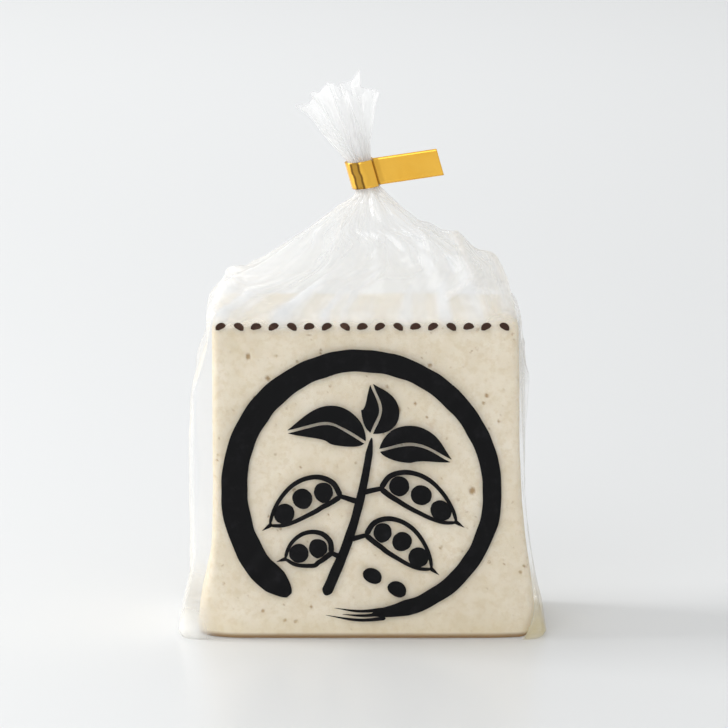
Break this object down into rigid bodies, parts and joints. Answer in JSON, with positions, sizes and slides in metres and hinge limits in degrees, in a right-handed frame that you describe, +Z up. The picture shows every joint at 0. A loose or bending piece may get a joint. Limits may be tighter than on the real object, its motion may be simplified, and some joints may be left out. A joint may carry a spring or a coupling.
{
  "type": "tofu block in a film bag",
  "caption": "Firm tofu block standing in a clear film bag, gathered into a leaning neck above the block and closed with a flag of gold tape",
  "frame": {"origin": "middle of the flat bottom that the bag stands on", "axes": "+Z up along the height, +X to the right seen from the front, -Y out of the printed front"},
  "size_m": [0.12, 0.057, 0.1805],
  "materials": {
    "film": "clear crinkled film, tight over pale contents",
    "gold_tape": "metallised gold tape, satin, creased where it is pinched",
    "curd": "moist pressed curd, cream, with small brownish pores",
    "whey": "thin pale liquid",
    "ink": "black print on film"
  },
  "bodies": {
    "root": {"bag": "film", "tape": "gold_tape"}
  },
  "joints": []
}
